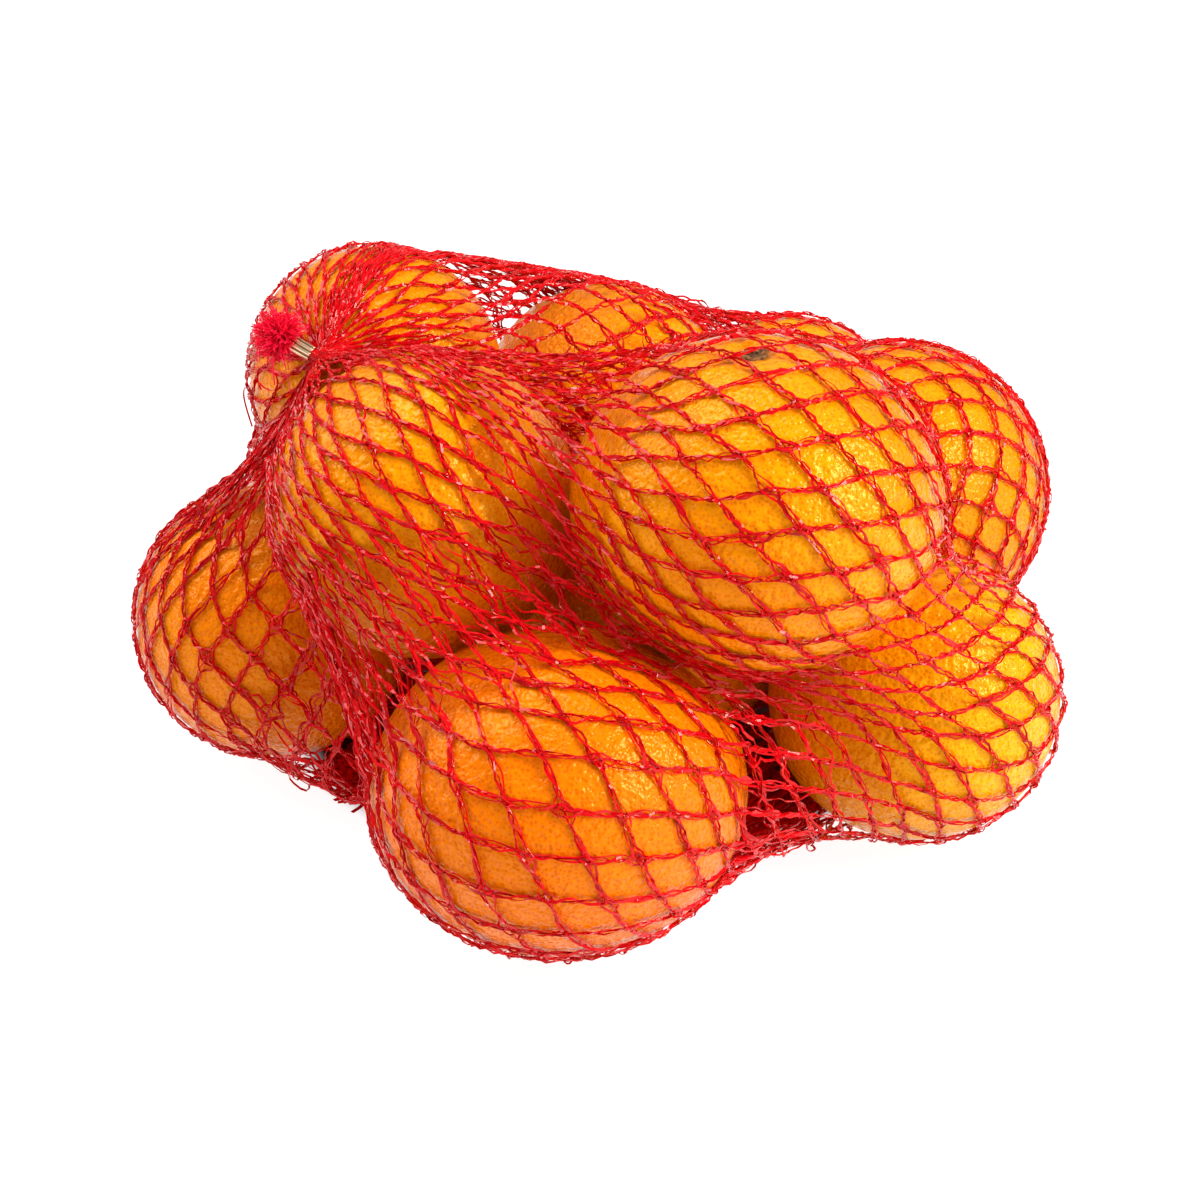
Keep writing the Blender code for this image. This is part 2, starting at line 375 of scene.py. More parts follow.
pores = add("ShaderNodeTexVoronoi", feature="F1")
set_values(pores, Scale=1000 / PORE_SPACING, Randomness=0.85)
join(place.outputs["Object"], pores.inputs["Vector"])
dot = add("ShaderNodeMapRange", interpolation_type="SMOOTHSTEP")
set_values(dot, From_Min=0.14, From_Max=0.6, To_Min=1.0, To_Max=0.0)
join(pores.outputs["Distance"], dot.inputs["Value"])
dotted = add("ShaderNodeMix", data_type="RGBA", blend_type="MULTIPLY")
dot_strength = add("ShaderNodeMath", operation="MULTIPLY")
dot_strength.inputs[1].default_value = 0.5
join(dot.outputs["Result"], dot_strength.inputs[0])
join(dot_strength.outputs[0], dotted.inputs["Factor"])
join(skin_colour.outputs["Color"], dotted.inputs[6])
dotted.inputs[7].default_value = PORE_COLOUR

cork_edge = add_noise(add, join, place, Scale=700.0, Detail=3.0)
cork_reach = add("ShaderNodeMath", operation="MULTIPLY_ADD")
join(cork_edge.outputs["Fac"], cork_reach.inputs[0])
cork_reach.inputs[1].default_value = 0.09
join(scar_value.outputs["Fac"], cork_reach.inputs[2])
cork = add("ShaderNodeMapRange", interpolation_type="SMOOTHSTEP")
set_values(cork, From_Min=0.1, From_Max=0.19, To_Min=0.9, To_Max=0.0)
join(cork_reach.outputs[0], cork.inputs["Value"])
corked = add("ShaderNodeMix", data_type="RGBA")
join(cork.outputs["Result"], corked.inputs["Factor"])
join(dotted.outputs[2], corked.inputs[6])
corked.inputs[7].default_value = CORK_COLOUR
join(corked.outputs[2], shader.inputs["Base Color"])

pebbles = add_noise(add, join, place, Scale=1000 / PEBBLE_SIZE, Detail=0.0)
ridges = add("ShaderNodeMapRange", interpolation_type="SMOOTHSTEP")
set_values(ridges, From_Min=0.0, From_Max=0.75, To_Min=0.0, To_Max=0.3)
join(pores.outputs["Distance"], ridges.inputs["Value"])
relief = add("ShaderNodeMath", operation="MULTIPLY_ADD")
join(pebbles.outputs["Fac"], relief.inputs[0])
relief.inputs[1].default_value = 1.4
join(ridges.outputs["Result"], relief.inputs[2])
add_bump(add, join, shader, relief.outputs[0], Strength=0.9, Distance=0.00038)
set_values(shader, Roughness=0.17, Specular_IOR_Level=0.34, Specular_Tint=(1.0, 0.82, 0.2, 1))
oranges_piece.data.materials.append(peel)
print("peel: a pore about every", PORE_SPACING, "mm")

# %% [markdown]
# ## Stem buttons
#
# The calyx that is left where the stem was is a small woody star of five lobes, sunk in its
# dimple. It starts as a disc, whose rim is pulled into lobes; insets and small lifts give it a
# raised edge and a hollow middle. One is made for every fruit, though only a few show.

# %% Model the stem buttons
BUTTON_RADIUS = 2.9
BUTTON_LOBES = 5
BUTTON_HEIGHT = 0.6
# each ring towards the middle: how far in, how far up
BUTTON_STEPS = ((0.35, 0.18), (0.5, -0.15), (0.55, -0.3), (0.4, 0.25))

bm = bmesh.new()
for seed, name in enumerate(ORANGES):
    stem = Vector(FRUIT[name][0]).normalized()
    seat = skin_point(name, stem, seed)
    upright = stem.to_track_quat("Z", "Y").to_matrix().to_4x4()
    disc = bmesh.ops.create_circle(bm, cap_ends=True, segments=40, radius=BUTTON_RADIUS)["verts"]
    for vert in disc:
        turn = math.atan2(vert.co.y, vert.co.x)
        vert.co *= 0.78 + 0.22 * abs(math.cos(turn * BUTTON_LOBES / 2 + seed)) ** 0.7
    top = disc[0].link_faces[0]
    walls = bmesh.ops.extrude_face_region(bm, geom=[top])["geom"]
    top = [item for item in walls if isinstance(item, bmesh.types.BMFace)][0]
    bmesh.ops.translate(bm, verts=top.verts, vec=(0, 0, BUTTON_HEIGHT))
    for inset, lift in BUTTON_STEPS:
        bmesh.ops.inset_region(bm, faces=[top], thickness=inset, use_even_offset=True)
        bmesh.ops.translate(bm, verts=top.verts, vec=(0, 0, lift))
    button = set(top.verts)
    frontier = list(button)
    while frontier:
        vert = frontier.pop()
        for edge in vert.link_edges:
            other = edge.other_vert(vert)
            if other not in button:
                button.add(other)
                frontier.append(other)
    for vert in button:
        vert.co.z += 0.18 * noise.noise(vert.co * 1.1 + Vector((seed, 0, 0)))
    bmesh.ops.transform(bm, matrix=Matrix.Translation(seat) @ upright, verts=list(button))
bmesh.ops.scale(bm, vec=(MM, MM, MM), verts=bm.verts)
bmesh.ops.recalc_face_normals(bm, faces=bm.faces)
for face in bm.faces:
    face.smooth = True
buttons_piece = add_piece("stem_buttons", bm)
print("stem buttons:", len(buttons_piece.data.polygons), "faces")

# %% Cork material for the stem buttons
corky, shader, add, join = new_material("stem_cork")
place = add("ShaderNodeTexCoord")
grain = add_noise(add, join, place, Scale=1400.0, Detail=4.0, Roughness=0.65)
dark_brown, tan = (0.09, 0.03, 0.006), (0.42, 0.19, 0.045)
browns = add_ramp(add, join, grain.outputs["Fac"], (0.35, dark_brown), (0.7, tan))
join(browns.outputs["Color"], shader.inputs["Base Color"])
add_bump(add, join, shader, grain.outputs["Fac"], Strength=0.8, Distance=0.0003)
set_values(shader, Roughness=0.75)
buttons_piece.data.materials.append(corky)

# %% [markdown]
# ## Letting the net find its own shape
#
# The net is a knitted tube of plastic film yarn, gathered at both ends. Nobody could place its
# 2,574 knots by hand, and they don't lie evenly: the tube is pulled tight over the
# high fruits, spans the valleys between them, and closes into dense red bundles where there is
# more net than surface. So it is simulated. The knots are points, and each strand between two
# knots pulls when it is longer than its rest length but hardly pushes when it is shorter, as a
# thread does. Every step adds the pulls, moves the knots, and puts any knot that is inside a
# fruit or the floor back on its surface. It starts as a loose cocoon round the pile, and both
# ends are held in the clips. The knots of all strands are moved together, as arrays. A weak
# pull draws the free net into the valleys, as handling does, and at a few places it is let off
# or turned round, so that the webs and the bare spots lie where the photo has them.

# %% Where the net is held
# name: (middle, way from the bag to the loose end)
CLIPS = {
    "clip": (Vector((-65.4, -6.4, 98.0)), Vector((-0.86, 0.26, 0.44)).normalized()),
    "clip_far": (Vector((92.6, 1.1, 12.0)), Vector((0.87, 0.1, -0.48)).normalized()),
}
CLIP_LENGTH = 5.2
NECK_GAP = 4.1
NECK_RADIUS = 1.3

necks = {name: np.array(place - way * NECK_GAP) for name, (place, way) in CLIPS.items()}
print("necks:", {name: neck.round(1).tolist() for name, neck in necks.items()})

# %% The fruit as arrays, and how far a point is from them
middles = np.array([o[0] for o in ORANGES.values()])
radii = np.array([o[1] for o in ORANGES.values()])
flats = np.array([o[2] for o in ORANGES.values()])
axes = np.array([o[3] for o in ORANGES.values()])


def gaps_to_fruit(points, cover):
    """Each point's gap to every fruit with a cover on it, and the ways straight out of them."""
    apart = points[:, None, :] - middles[None]
    along = (apart * axes[None]).sum(2)
    wide = (radii + cover) ** 2
    tall = (radii * flats + cover) ** 2
    slope = apart / wide[None, :, None] + (along * (1 / tall - 1 / wide))[:, :, None] * axes[None]
    scale = np.sqrt(np.maximum((slope * apart).sum(2), 1e-12))
    steep = np.linalg.norm(slope, axis=2)
    return (scale - 1) * scale / np.maximum(steep, 1e-9), slope / steep[:, :, None]


def nearest_fruit(points, cover):
    """The gap to the nearest fruit, negative inside it, and the way straight out of it."""
    gaps, outward = gaps_to_fruit(points, cover)
    nearest = gaps.argmin(1)
    row = np.arange(len(points))
    return gaps[row, nearest], outward[row, nearest]


def keep_outside(points, cover, floor_gap, rounds=2):
    """Moves points that are inside a fruit or the floor to the surface."""
    for _ in range(rounds):
        gap, outward = nearest_fruit(points, cover)
        points = points - np.minimum(gap, 0)[:, None] * outward
    points[:, 2] = np.maximum(points[:, 2], floor_gap)
    return points


# %% The knots and strands of the tube
ROWS = 33
KNOTS_ROUND = 78
STRAND_LENGTH = 8.8
STRAND_SPREAD = 0.06
COCOON_MIDDLE = np.array((0.0, 0.0, 52.0))
COCOON_SIZE = np.array((135.0, 150.0, 85.0))
KNOT_FLOOR_GAP = 0.6

chance = np.random.default_rng(4)
row = np.arange(ROWS)[:, None]
column = np.arange(KNOTS_ROUND)[None, :]
turn = 2 * np.pi * (column + 0.5 * (row % 2)) / KNOTS_ROUND
slant = np.pi * row / (ROWS - 1)
tube_axis = necks["clip"] - necks["clip_far"]
tube_axis /= np.linalg.norm(tube_axis)
tube_side = np.cross(tube_axis, (0, 0, 1.0))
tube_side /= np.linalg.norm(tube_side)
tube_up = np.cross(tube_axis, tube_side)
ring = np.cos(turn)[..., None] * tube_side + np.sin(turn)[..., None] * tube_up
knots = COCOON_MIDDLE + COCOON_SIZE * (
    np.cos(slant)[..., None] * tube_axis + np.sin(slant)[..., None] * ring
)
knots[0] = necks["clip"] + NECK_RADIUS * ring[0]
knots[-1] = necks["clip_far"] + NECK_RADIUS * ring[-1]
knots = knots.reshape(-1, 3)
knots[:, 2] = np.maximum(knots[:, 2], KNOT_FLOOR_GAP)

# a strand goes on to the next row, leaning right in one family and left in the other
LEANS = (0, -1)
ahead = np.full((2, ROWS * KNOTS_ROUND), -1)
behind = np.full((2, ROWS * KNOTS_ROUND), -1)
for family, lean in enumerate(LEANS):
    for i in range(ROWS - 1):
        here = i * KNOTS_ROUND + np.arange(KNOTS_ROUND)
        there = (i + 1) * KNOTS_ROUND + (np.arange(KNOTS_ROUND) + lean + i % 2) % KNOTS_ROUND
        ahead[family, here] = there
        behind[family, there] = here
starts = np.concatenate([np.flatnonzero(ahead[f] >= 0) for f in (0, 1)])
ends = np.concatenate([ahead[f][ahead[f] >= 0] for f in (0, 1)])
rest_length = STRAND_LENGTH * (1 + STRAND_SPREAD * chance.standard_normal(len(starts)))
print(len(knots), "knots and", len(starts), "strands")

# %% Relax the net
STEPS = 1500
SLACK_PUSH = 0.01
STIFFNESS = 0.02
STEP_SIZE = 0.22
DRAG = 0.9
TOP_SPEED = 1.2
VALLEY_PULL = 0.15
VALLEY_REACH = 4.0
VALLEY_TOP = 105.0
VALLEY_FADE = 25.0
NET_COVER = 0.7
# where the photo's net stands out of a valley: the place, how far round it, how strongly
WEBS = (
    ((-55.0, -45.0, 5.0), 24.0, 2.6),
    ((32.0, -62.0, 3.0), 16.0, 1.8),
    ((-22.0, 42.0, 95.0), 22.0, 2.2),
)
# where it leaves a fruit nearly bare
PARTINGS = (
    ((-78.0, 3.0, 84.0), 14.0, 1.0),
    ((-6.0, 34.0, 82.0), 14.0, 0.4),
    ((-36.0, 20.0, 104.0), 14.0, 0.6),
)


def relax(knots, steps):
    """Lets the strands pull the knots until the net lies still on the fruit."""
    count = len(knots)
    pinned = np.zeros(count, bool)
    pinned[:KNOTS_ROUND] = pinned[-KNOTS_ROUND:] = True
    held = knots[pinned].copy()
    speed = np.zeros_like(knots)
    inner = [np.flatnonzero((ahead[f] >= 0) & (behind[f] >= 0)) for f in (0, 1)]
    for _ in range(steps):
        span = knots[ends] - knots[starts]
        length = np.sqrt((span * span).sum(1))
        stretch = length - rest_length
        pull = (np.where(stretch > 0, 1.0, SLACK_PUSH) * stretch / length)[:, None] * span
        force = np.stack(
            [
                np.bincount(starts, pull[:, c], count) - np.bincount(ends, pull[:, c], count)
                for c in range(3)
            ],
            axis=1,
        )
        for f in (0, 1):
            at, on, back = inner[f], ahead[f][inner[f]], behind[f][inner[f]]
            bend = STIFFNESS * (knots[on] + knots[back] - 2 * knots[at])
            force[at] += bend
            force[on] -= 0.5 * bend
            force[back] -= 0.5 * bend
        gap, outward = nearest_fruit(knots, NET_COVER)
        low = np.clip((VALLEY_TOP - knots[:, 2]) / VALLEY_FADE, 0, 1)
        for place, size, strength in WEBS:
            low *= 1 - strength * np.exp(-((knots - place) ** 2).sum(1) / size**2)
        force -= VALLEY_PULL * (np.clip(gap / VALLEY_REACH, 0, 1) * low)[:, None] * outward
        for place, size, strength in PARTINGS:
            away = knots - place
            far = np.linalg.norm(away, axis=1)
            push = strength * np.exp(-((far / size) ** 2)) / np.maximum(far, 1e-6)
            force += push[:, None] * away
        speed = (speed + STEP_SIZE * force) * DRAG
        fast = np.sqrt((speed * speed).sum(1))
        speed *= np.minimum(1, TOP_SPEED / np.maximum(fast, 1e-9))[:, None]
        before = knots
        knots = knots + speed
        knots[pinned] = held
        knots = keep_outside(knots, NET_COVER, KNOT_FLOOR_GAP)
        knots[pinned] = held
        moved = knots - before
        speed = np.where(np.abs(moved) < np.abs(speed), moved, speed)
        speed[pinned] = 0
    return knots, float(np.abs(speed).max())


knots, still_moving = relax(knots, STEPS)
lengths = np.linalg.norm(knots[ends] - knots[starts], axis=1)
print("strand lengths, mm:", np.percentile(lengths, [1, 10, 50, 90, 99]).round(1))
print("fastest knot at the end:", round(still_moving, 3))

# %% [markdown]
# ## One filament
#
# Seen close, a strand is two or three flat tapes, each about half a millimetre wide, that run
# side by side and twist. One piece of tape is modelled: a box, cut across into short lengths.
# Copies of it are then bent along every strand, the way an array along a curve works. Each has
# only a few dozen faces, as there are thousands.


# %% Model one piece of tape
def model_tape(lengths):
    """A tape one unit long, wide and thick, cut into lengths. Gives its points and faces."""
    bm = bmesh.new()
    bmesh.ops.create_cube(bm, size=1.0)
    bmesh.ops.translate(bm, verts=bm.verts, vec=(0, 0, 0.5))
    long_edges = [e for e in bm.edges if abs(e.verts[0].co.z - e.verts[1].co.z) > 0.5]
    bmesh.ops.subdivide_edges(bm, edges=long_edges, cuts=lengths - 1, use_grid_fill=True)
    points = np.array([v.co for v in bm.verts])
    faces = np.array([[v.index for v in f.verts] for f in bm.faces])
    bm.free()
    return points, faces


TAPE_LENGTHS = 7
points, faces = model_tape(TAPE_LENGTHS)
print("one tape:", len(points), "points and", len(faces), "faces")


# %% Lay copies of the tape along paths
SHARP_FROM = math.radians(50)


def unit(vectors):
    """Vectors of the same direction, one long."""
    return vectors / np.maximum(np.linalg.norm(vectors, axis=-1, keepdims=True), 1e-9)


def lay_tapes(name, paths, across, width, thickness, shade):
    """One mesh of tapes. paths and across are arrays of (tape, ring, xyz), in millimetres."""
    rings = paths.shape[1]
    points, faces = model_tape(rings - 1)
    along = unit(np.gradient(paths, axis=1))
    across = unit(across - (across * along).sum(2, keepdims=True) * along)
    up = np.cross(along, across)
    at = np.rint(points[:, 2] * (rings - 1)).astype(int)
    spread = points[None, :, 0, None] * np.broadcast_to(width, (len(paths), rings))[:, at, None]
    lift = points[None, :, 1, None] * np.broadcast_to(thickness, (len(paths), rings))[:, at, None]
    co = paths[:, at] + across[:, at] * spread + up[:, at] * lift
    corners = faces[None] + len(points) * np.arange(len(paths))[:, None, None]
    mesh = bpy.data.meshes.new(name)
    mesh.vertices.add(co.shape[0] * co.shape[1])
    mesh.vertices.foreach_set("co", (co * MM).astype(np.float32).ravel())
    mesh.loops.add(corners.size)
    mesh.loops.foreach_set("vertex_index", corners.astype(np.int32).ravel())
    mesh.polygons.add(corners.size // 4)
    mesh.polygons.foreach_set("loop_start", np.arange(0, corners.size, 4, dtype=np.int32))
    mesh.update(calc_edges=True)
    mesh.validate()
    shades = mesh.attributes.new("shade", "FLOAT", "POINT")
    shades.data.foreach_set("value", np.repeat(shade, len(points)).astype(np.float32))
    mesh.shade_smooth()
    mesh.set_sharp_from_angle(angle=SHARP_FROM)
    piece = bpy.data.objects.new(name, mesh)
    scene.collection.objects.link(piece)
    print(f"{name}: {len(paths)} tapes, {2 * corners.size // 4} triangles")
    return piece


# %% [markdown]
# ## Strands between the knots
#
# Each family of strands runs right along the tube, so a smooth curve is drawn through its
# knots. Two tapes follow that curve. Between knots they lie close and turn round each other. At
# a knot they part along the other family's strand, which leaves the small triangles that a
# knitted net has at each crossing. A narrow tape sways between the two, and a thin one bows out
# beside many strands and makes narrow eyelets. In the valleys, where a real net is gathered in
# folds, two more tapes for each strand drift beside and below it. All of them are then pushed
# out of the fruit again, as a straight line between two points on a ball passes under its skin.

# %% The paths of the strands
OPEN_LENGTH = 9.0
BLEND_REACH = 3.0

knot_rows = knots.reshape(ROWS, KNOTS_ROUND, 3)
rows = np.arange(ROWS)


def columns_of(family):
    """The column that each strand line of a family has in each row."""
    shift = rows // 2 if family == 0 else -((rows + 1) // 2)
    return (np.arange(KNOTS_ROUND)[:, None] + shift[None, :]) % KNOTS_ROUND


def smooth_outward(points):
    """The way out of the pile, blended between the fruits near each point."""
    flat = points.reshape(-1, 3)
    gaps, outward = gaps_to_fruit(flat, 0.0)
    weight = np.exp(-(gaps - gaps.min(1, keepdims=True)) / BLEND_REACH)
    return unit((outward * weight[:, :, None]).sum(1)).reshape(points.shape)


def rounded(points, samples):
    """A smooth curve through each row of points, as (line, stretch, sample, xyz)."""
    first = 2 * points[:, :1] - points[:, 1:2]
    last = 2 * points[:, -1:] - points[:, -2:-1]
    p = np.concatenate([first, points, last], axis=1)
    a, b, c, d = p[:, :-3], p[:, 1:-2], p[:, 2:-1], p[:, 3:]
    t = np.linspace(0, 1, samples)[None, None, :, None]
    a, b, c, d = (x[:, :, None, :] for x in (a, b, c, d))
    cubic = (3 * b - a - 3 * c + d) * t**3
    return 0.5 * (2 * b + (c - a) * t + (2 * a - 5 * b + 4 * c - d) * t**2 + cubic)


tangents = []
for family in (0, 1):
    on = np.where(ahead[family] >= 0, ahead[family], np.arange(len(knots)))
    back = np.where(behind[family] >= 0, behind[family], np.arange(len(knots)))
    tangents.append(unit(knots[on] - knots[back]).reshape(ROWS, KNOTS_ROUND, 3))
crossing = np.linalg.norm(np.cross(tangents[0], tangents[1]), axis=2)
shortest = np.full(len(knots), 99.0)
np.minimum.at(shortest, starts, lengths)
np.minimum.at(shortest, ends, lengths)
openness = crossing * np.clip(shortest.reshape(ROWS, KNOTS_ROUND) / OPEN_LENGTH, 0, 1)
open_knots = openness.ravel() > 0.5
print("open knots:", int(open_knots.sum()), "of", len(knots))

# %% How a tape is laid on its course
TAPE_THICKNESS = 0.12
TAPE_LEAN = 0.7
KINK = 0.09
SKIN_GAP = 0.3
TAPE_FLOOR_GAP = 0.4
COURSE_FLOOR_GAP = 0.5
LYING_GAP = 0.45
LYING_REACH = 2.2

net_pieces = []


def between_knots(values, t):
    """Values at the knots of each line, blended evenly along the stretches between them."""
    return values[:, :-1, None] + (values[:, 1:] - values[:, :-1])[:, :, None] * t


def clear_of_fruit(paths, floor_gap=TAPE_FLOOR_GAP):
    """Keeps paths, which are arrays of any shape with xyz last, off the fruit and the floor."""
    return keep_outside(paths.reshape(-1, 3), SKIN_GAP, floor_gap).reshape(paths.shape)


def lie_close(paths):
    """Lets points that are almost on the fruit lie down on it."""
    gap, outward = nearest_fruit(paths.reshape(-1, 3), 0.0)
    sink = np.maximum(gap - LYING_GAP, 0) * np.clip(LYING_REACH - gap, 0, 1)
    return paths - (sink[:, None] * outward).reshape(paths.shape)


def lay_filament(name, course, offset, ways, width, keep):
    """Lays one tape on every stretch that is kept, off its course by an offset with small kinks."""
    side, outward, loose = ways
    kink = chance.normal(0, KINK, (2,) + course.shape[:3] + (1,)) * loose[..., None, None]
    kink[..., (0, -1), :] = 0
    paths = course + offset + kink[0] * side + kink[1] * outward
    paths, side, outward = paths[keep], side[keep], outward[keep]
    paths = clear_of_fruit(paths)
    # the tape's face turns from one lean to another, in some of them by half a turn
    lean = chance.normal(0, TAPE_LEAN, (len(paths), 2))
    lean = lean + np.pi * chance.choice((-1, 0, 0, 1), (len(paths), 1)) * (0, 1)
    lean = lean[:, :1] + (lean[:, 1:] - lean[:, :1]) * np.linspace(0, 1, paths.shape[1])
    across = np.cos(lean)[..., None] * side + np.sin(lean)[..., None] * outward
    widths = width * chance.uniform(0.8, 1.2, (len(paths), 1))
    widths = widths * chance.uniform(0.75, 1.25, paths.shape[:2])
    shades = chance.random(len(paths))
    net_pieces.append(lay_tapes(name, paths, across, widths, TAPE_THICKNESS, shades))


# %% Lay the strands
PAIR_WIDTH = 0.48
PAIR_GAP = 0.5
# half turns of a pair between two knots
PAIR_TWIST = (2.2, 3.4)
CORE_WIDTH = 0.42
CORE_SWAY = 0.35
THREAD_WIDTH = 0.3
THREAD_BOW = 0.95
# family: (share of knots that part, how far they part)
PARTING = ((0.55, 1.1), (0.9, 1.7))
CLOSED_PART = 0.3
PART_REACH = 0.42
SHOWN_FROM = 2.5
# the net counts as gathered where it is this far off the fruit, left of here, and so high
GATHER_GAP = 1.3
GATHER_RIGHT = 45.0
GATHER_HEIGHTS = (5.0, 88.0)
GATHER_SPREAD = 1.6
GATHER_SINK = 0.6

gap_of_knots = nearest_fruit(knots, 0.0)[0].reshape(ROWS, KNOTS_ROUND)
t = np.linspace(0, 1, TAPE_LENGTHS + 1)
near = np.clip(1 - t / PART_REACH, 0, 1)
near = near * near * (3 - 2 * near)
for family, label in enumerate(("net_strands_a", "net_strands_b")):
    columns = columns_of(family)
    lines = knot_rows[rows[None, :], columns]
    other = tangents[1 - family][rows[None, :], columns]
    free = openness[rows[None, :], columns]
    share, far = PARTING[family]
    parts_here = chance.random(free.shape) < share
    wide_part = far * (1 + 0.25 * chance.standard_normal(free.shape))
    part = other * (np.where(parts_here, wide_part, CLOSED_PART) * free)[..., None]
    course = lie_close(clear_of_fruit(rounded(lines, len(t)), COURSE_FLOOR_GAP))
    along = unit(np.gradient(course, axis=2))
    outward = smooth_outward(course)
    side = unit(np.cross(along, outward))
    loose = np.clip((free[:, :-1] + free[:, 1:]) / 2 + 0.2, 0, 1)
    ways = (side, outward, loose)
    off_floor = course[..., 2].mean(2) > SHOWN_FROM
    shown = off_floor & (chance.random(loose.shape) < 2.2 * loose - 0.3)
    every = np.ones_like(shown)
    # two tapes that turn round each other and part at the knots
    parted = part[:, :-1, None] * near[None, None, :, None]
    parted = parted + part[:, 1:, None] * near[::-1][None, None, :, None]
    twist = between_knots(np.cumsum(chance.uniform(*PAIR_TWIST, free.shape) * np.pi, axis=1), t)
    close = PAIR_GAP * (1 - 0.5 * (near + near[::-1])) * (0.5 + 0.5 * loose[..., None])
    pair = parted + (close * np.cos(twist))[..., None] * side
    pair = pair + (close * np.sin(twist))[..., None] * outward
    lay_filament(label + "1", course, pair, ways, PAIR_WIDTH, every)
    lay_filament(label + "2", course, -pair, ways, PAIR_WIDTH, every)
    # a narrow one that sways between them
    sway = between_knots(chance.normal(0, 0.15, free.shape), t)
    sway = sway + CORE_SWAY * chance.normal(0, 1, shown.shape)[..., None] * np.sin(2 * np.pi * t)
    lay_filament(label + "3", course, sway[..., None] * side, ways, CORE_WIDTH, shown)
    # a thin one that bows out beside the rest
    bow = THREAD_BOW * np.sin(np.pi * t) * chance.choice((-1, 1), shown.shape)[..., None]
    swing = np.clip(free[:, :-1] + 0.15, 0, 1) * chance.uniform(0.5, 1.3, shown.shape)
    bow = bow * swing[..., None]
    some = shown & (chance.random(shown.shape) < 0.5)
    lay_filament(label + "4", course, bow[..., None] * side, ways, THREAD_WIDTH, some)
    # in the valleys, where the net is gathered, more of it lies beside and below
    hollow = gap_of_knots[rows[None, :], columns]
    halfway = course[:, :, len(t) // 2]
    gathered = (hollow[:, :-1] + hollow[:, 1:] > 2 * GATHER_GAP) & (halfway[..., 0] < GATHER_RIGHT)
    gathered &= (halfway[..., 2] > GATHER_HEIGHTS[0]) & (halfway[..., 2] < GATHER_HEIGHTS[1])
    room = np.zeros_like(free)
    room[:, 1:-1] = gathered[:, :-1] & gathered[:, 1:]
    for copy in ("5", "6"):
        drift = between_knots(chance.normal(0, GATHER_SPREAD, free.shape) * room, t)[..., None]
        sink = between_knots(chance.normal(-GATHER_SINK, 0.7, free.shape) * room, t)[..., None]
        astray = pair + drift * side + sink * outward
        lay_filament(label + copy, course, astray, ways, PAIR_WIDTH, gathered)

# %% [markdown]
# ## Stitches
#
# Where two strands of the knit cross, the yarn is looped from one into the other. Seen from
# outside, such a loop is a short arc that cuts the corner between the two, a little raised.
# Up to four of them, one for each corner, are laid round every knot that stands open.

# %% Lay the stitches round the knots
STITCH_REACH = 1.5
STITCH_WIDTH = 0.4
STITCH_SHARE = 0.6
STITCH_LIFT = 0.45
STITCH_LEAN = 0.6

knot_ways = [way.reshape(-1, 3) for way in tangents]
stitched = np.flatnonzero(open_knots & (knots[:, 2] > SHOWN_FROM))
stitches = []
for turn_to in (1, -1):
    for begin_at in (1, -1):
        chosen = stitched[chance.random(len(stitched)) < STITCH_SHARE]
        middle_way = begin_at * (knot_ways[0][chosen] + turn_to * knot_ways[1][chosen])
        reach_now = STITCH_REACH * chance.uniform(0.6, 1.3, (len(chosen), 1))
        start = knots[chosen] + begin_at * reach_now * knot_ways[0][chosen]
        bend = knots[chosen] + 0.35 * reach_now * middle_way
        stop = knots[chosen] + begin_at * turn_to * reach_now * knot_ways[1][chosen]
        points = [start, (start + 2 * bend) / 3, (stop + 2 * bend) / 3, stop]
        stitches.append(np.stack(points, axis=1))
stitches = np.concatenate(stitches)
out = smooth_outward(stitches)
stitches = stitches + out * np.array((0.0, STITCH_LIFT, STITCH_LIFT, 0.0))[None, :, None]
stitches = clear_of_fruit(stitches)
lean = chance.normal(0, STITCH_LEAN, (len(stitches), 1, 1))
across = np.cos(lean) * np.cross(unit(np.gradient(stitches, axis=1)), out) + np.sin(lean) * out
shades = chance.random(len(stitches))
net_pieces.append(
    lay_tapes("net_stitches", stitches, across, STITCH_WIDTH, TAPE_THICKNESS, shades)
)

# %% [markdown]
# ## The slack under the pile
#
# The tube is wider than the pile, so the surplus lies crumpled on the floor between the lower
# fruits, where it is dark and dense. Copies of the lowest strands, turned at random about their
# own middles and shifted inwards, fill these gaps as the folds do. The web on the left of the
# front fruit gets more of them, as it is the densest in the photo. The copies are shifted
# inwards only, because their cut ends would show outside the net.

# %% Lay the slack
FOLD_COUNT = 3600
FOLD_TOP = 10.0
FOLD_GAP = 1.5
# the least and the most that a copy is shifted, and how much more for each mm of its height
FOLD_SHIFTS = (0.8, 12.0)
FOLD_SHIFT_UP = 0.6
FOLD_HEIGHTS = (0.5, 5.0)
FOLD_TURN = 0.5
FOLD_WIDTH = 0.9
WEB_REACH = 28.0
WEB_COPIES = 4

middles_of_strands = (knots[starts] + knots[ends]) / 2
low = (knots[starts, 2] < FOLD_TOP) & (knots[ends, 2] < FOLD_TOP)
low_strands = np.flatnonzero(low & (nearest_fruit(middles_of_strands, 0.0)[0] > FOLD_GAP))
from_web = np.linalg.norm(knots[starts[low_strands]] - np.array(WEBS[0][0]), axis=1)
near_web = low_strands[from_web < WEB_REACH]
print("low strands:", len(low_strands), "of which at the web:", len(near_web))
chosen = np.resize(np.concatenate([low_strands, np.tile(near_web, WEB_COPIES)]), FOLD_COUNT)
halfway = middles_of_strands[chosen]
reach_out = (knots[ends[chosen]] - knots[starts[chosen]]) / 2
inwards = unit(-halfway * (1, 1, 0))
shift = chance.uniform(*FOLD_SHIFTS, len(halfway)) + FOLD_SHIFT_UP * halfway[:, 2]
spin = chance.normal(0, FOLD_TURN, len(halfway))
